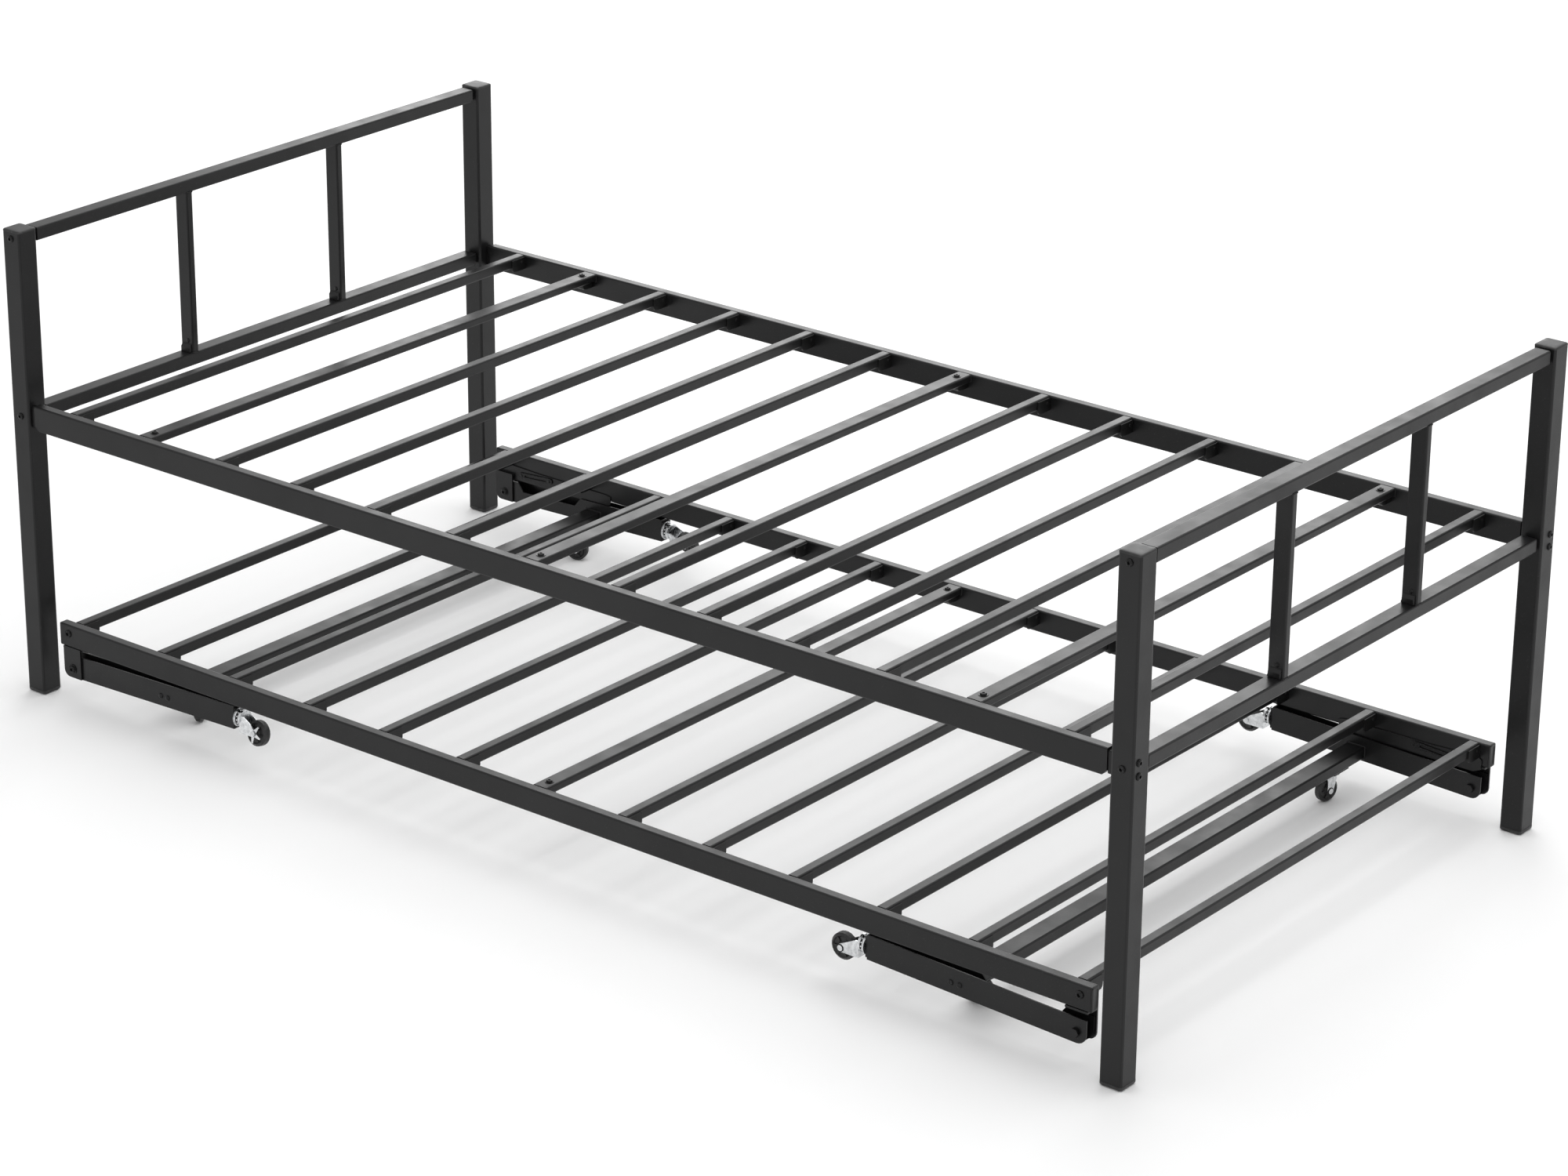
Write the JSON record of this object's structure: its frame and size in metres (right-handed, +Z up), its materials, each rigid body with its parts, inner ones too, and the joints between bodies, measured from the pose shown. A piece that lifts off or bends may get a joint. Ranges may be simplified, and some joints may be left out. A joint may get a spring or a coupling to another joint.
{
  "type": "trundle bed",
  "caption": "Black metal single bed on square posts with slatted deck, and a low slatted trundle with folding leg frames that rolls out on casters.",
  "frame": {"origin": "on the floor under the middle of the bed", "axes": "+X along the bed towards the foot end, +Z up, -Y towards the near side, where the trundle rolls out"},
  "size_m": [1.98, 1.008, 0.72],
  "materials": {
    "powder_coat": "satin black powder coat over steel tube, fine grain",
    "bright_zinc": "bright zinc plated steel stampings",
    "wheel_plastic": "black moulded plastic, slightly glossy"
  },
  "bodies": {
    "bed_frame": {"post_head_near": "powder_coat", "post_head_far": "powder_coat", "post_foot_near": "powder_coat", "post_foot_far": "powder_coat", "headboard_panel": "powder_coat", "footboard_panel": "powder_coat", "bed_rail_near": "powder_coat", "bed_rail_far": "powder_coat", "bed_slat_01": "powder_coat", "bed_slat_02": "powder_coat", "bed_slat_03": "powder_coat", "bed_slat_04": "powder_coat", "bed_slat_05": "powder_coat", "bed_slat_06": "powder_coat", "bed_slat_07": "powder_coat", "bed_slat_08": "powder_coat", "bed_slat_09": "powder_coat", "bed_slat_10": "powder_coat", "bed_slat_11": "powder_coat", "bed_slat_12": "powder_coat", "bed_slat_13": "powder_coat"},
    "trundle_deck": {"trundle_rail_near": "powder_coat", "trundle_rail_far": "powder_coat", "trundle_slat_01": "powder_coat", "trundle_slat_02": "powder_coat", "trundle_slat_03": "powder_coat", "trundle_slat_04": "powder_coat", "trundle_slat_05": "powder_coat", "trundle_slat_06": "powder_coat", "trundle_slat_07": "powder_coat", "trundle_slat_08": "powder_coat", "trundle_slat_09": "powder_coat", "trundle_slat_10": "powder_coat", "trundle_slat_11": "powder_coat", "trundle_slat_12": "powder_coat", "trundle_slat_13": "powder_coat", "bracket_head_near": "powder_coat", "bracket_head_far": "powder_coat", "bracket_foot_near": "powder_coat", "bracket_foot_far": "powder_coat"},
    "legs_head": {"leg_frame_head": "powder_coat"},
    "legs_foot": {"leg_frame_foot": "powder_coat"},
    "lift_fork_head_near": {"lift_caster_head_near_fork": "bright_zinc"},
    "lift_wheel_head_near": {"lift_caster_head_near_wheel": "wheel_plastic"},
    "brake_head_near": {"brake_lever_head_near": "bright_zinc"},
    "floor_fork_head_near": {"floor_caster_head_near_fork": "bright_zinc"},
    "floor_wheel_head_near": {"floor_caster_head_near_wheel": "wheel_plastic"},
    "lift_fork_head_far": {"lift_caster_head_far_fork": "bright_zinc"},
    "lift_wheel_head_far": {"lift_caster_head_far_wheel": "wheel_plastic"},
    "floor_fork_head_far": {"floor_caster_head_far_fork": "bright_zinc"},
    "floor_wheel_head_far": {"floor_caster_head_far_wheel": "wheel_plastic"},
    "lift_fork_foot_near": {"lift_caster_foot_near_fork": "bright_zinc"},
    "lift_wheel_foot_near": {"lift_caster_foot_near_wheel": "wheel_plastic"},
    "floor_fork_foot_near": {"floor_caster_foot_near_fork": "bright_zinc"},
    "floor_wheel_foot_near": {"floor_caster_foot_near_wheel": "wheel_plastic"},
    "lift_fork_foot_far": {"lift_caster_foot_far_fork": "bright_zinc"},
    "lift_wheel_foot_far": {"lift_caster_foot_far_wheel": "wheel_plastic"},
    "brake_foot_far": {"brake_lever_foot_far": "bright_zinc"},
    "floor_fork_foot_far": {"floor_caster_foot_far_fork": "bright_zinc"},
    "floor_wheel_foot_far": {"floor_caster_foot_far_wheel": "wheel_plastic"}
  },
  "joints": [
    {"name": "trundle_roll_out", "type": "slide", "parent": "bed_frame", "child": "trundle_deck", "axis": [0, -1, 0], "range_m": [0, 1.05]},
    {"name": "legs_head_fold", "type": "hinge", "parent": "trundle_deck", "child": "legs_head", "pos_m": [-0.9075, 0, 0.051], "axis": [0, 1, 0], "range_deg": [0, 90]},
    {"name": "legs_foot_fold", "type": "hinge", "parent": "trundle_deck", "child": "legs_foot", "pos_m": [0.9075, 0, 0.051], "axis": [0, -1, 0], "range_deg": [0, 90]},
    {"name": "lift_swivel_head_near", "type": "hinge", "parent": "legs_head", "child": "lift_fork_head_near", "pos_m": [-0.573, -0.4763, 0.064], "axis": [-1, 0, 0], "range_deg": [-102, 78]},
    {"name": "lift_roll_head_near", "type": "hinge", "parent": "lift_fork_head_near", "child": "lift_wheel_head_near", "pos_m": [-0.533, -0.47921, 0.05031], "axis": [0, -0.9781, 0.2079], "continuous": true},
    {"name": "brake_turn_head_near", "type": "hinge", "parent": "lift_fork_head_near", "child": "brake_head_near", "pos_m": [-0.533, -0.47921, 0.05031], "axis": [0, -0.9781, 0.2079], "range_deg": [0, 36]},
    {"name": "floor_swivel_head_near", "type": "hinge", "parent": "legs_head", "child": "floor_fork_head_near", "pos_m": [-0.7185, -0.41, 0.044], "axis": [0, 0, 1], "continuous": true},
    {"name": "floor_roll_head_near", "type": "hinge", "parent": "floor_fork_head_near", "child": "floor_wheel_head_near", "pos_m": [-0.712, -0.42126, 0.018], "axis": [0.866, 0.5, 0], "continuous": true},
    {"name": "lift_swivel_head_far", "type": "hinge", "parent": "legs_head", "child": "lift_fork_head_far", "pos_m": [-0.573, 0.478, 0.064], "axis": [-1, 0, 0], "range_deg": [-70, 110]},
    {"name": "lift_roll_head_far", "type": "hinge", "parent": "lift_fork_head_far", "child": "lift_wheel_head_far", "pos_m": [-0.533, 0.48279, 0.05084], "axis": [0, -0.9397, -0.342], "continuous": true},
    {"name": "floor_swivel_head_far", "type": "hinge", "parent": "legs_head", "child": "floor_fork_head_far", "pos_m": [-0.7185, 0.41, 0.044], "axis": [0, 0, 1], "continuous": true},
    {"name": "floor_roll_head_far", "type": "hinge", "parent": "floor_fork_head_far", "child": "floor_wheel_head_far", "pos_m": [-0.70628, 0.41445, 0.018], "axis": [-0.342, 0.9397, 0], "continuous": true},
    {"name": "lift_swivel_foot_near", "type": "hinge", "parent": "legs_foot", "child": "lift_fork_foot_near", "pos_m": [0.573, -0.478, 0.064], "axis": [1, 0, 0], "range_deg": [-90, 90]},
    {"name": "lift_roll_foot_near", "type": "hinge", "parent": "lift_fork_foot_near", "child": "lift_wheel_foot_near", "pos_m": [0.533, -0.478, 0.05], "axis": [0, 1, 0], "continuous": true},
    {"name": "floor_swivel_foot_near", "type": "hinge", "parent": "legs_foot", "child": "floor_fork_foot_near", "pos_m": [0.7185, -0.41, 0.044], "axis": [0, 0, 1], "continuous": true},
    {"name": "floor_roll_foot_near", "type": "hinge", "parent": "floor_fork_foot_near", "child": "floor_wheel_foot_near", "pos_m": [0.70724, -0.4165, 0.018], "axis": [0.5, -0.866, 0], "continuous": true},
    {"name": "lift_swivel_foot_far", "type": "hinge", "parent": "legs_foot", "child": "lift_fork_foot_far", "pos_m": [0.573, 0.4763, 0.064], "axis": [1, 0, 0], "range_deg": [-90, 90]},
    {"name": "lift_roll_foot_far", "type": "hinge", "parent": "lift_fork_foot_far", "child": "lift_wheel_foot_far", "pos_m": [0.533, 0.4763, 0.05], "axis": [0, 1, 0], "continuous": true},
    {"name": "brake_turn_foot_far", "type": "hinge", "parent": "lift_fork_foot_far", "child": "brake_foot_far", "pos_m": [0.533, 0.4763, 0.05], "axis": [0, 1, 0], "range_deg": [0, 36]},
    {"name": "floor_swivel_foot_far", "type": "hinge", "parent": "legs_foot", "child": "floor_fork_foot_far", "pos_m": [0.7185, 0.41, 0.044], "axis": [0, 0, 1], "continuous": true},
    {"name": "floor_roll_foot_far", "type": "hinge", "parent": "floor_fork_foot_far", "child": "floor_wheel_foot_far", "pos_m": [0.71513, 0.39744, 0.018], "axis": [0.9659, -0.2588, 0], "continuous": true}
  ]
}
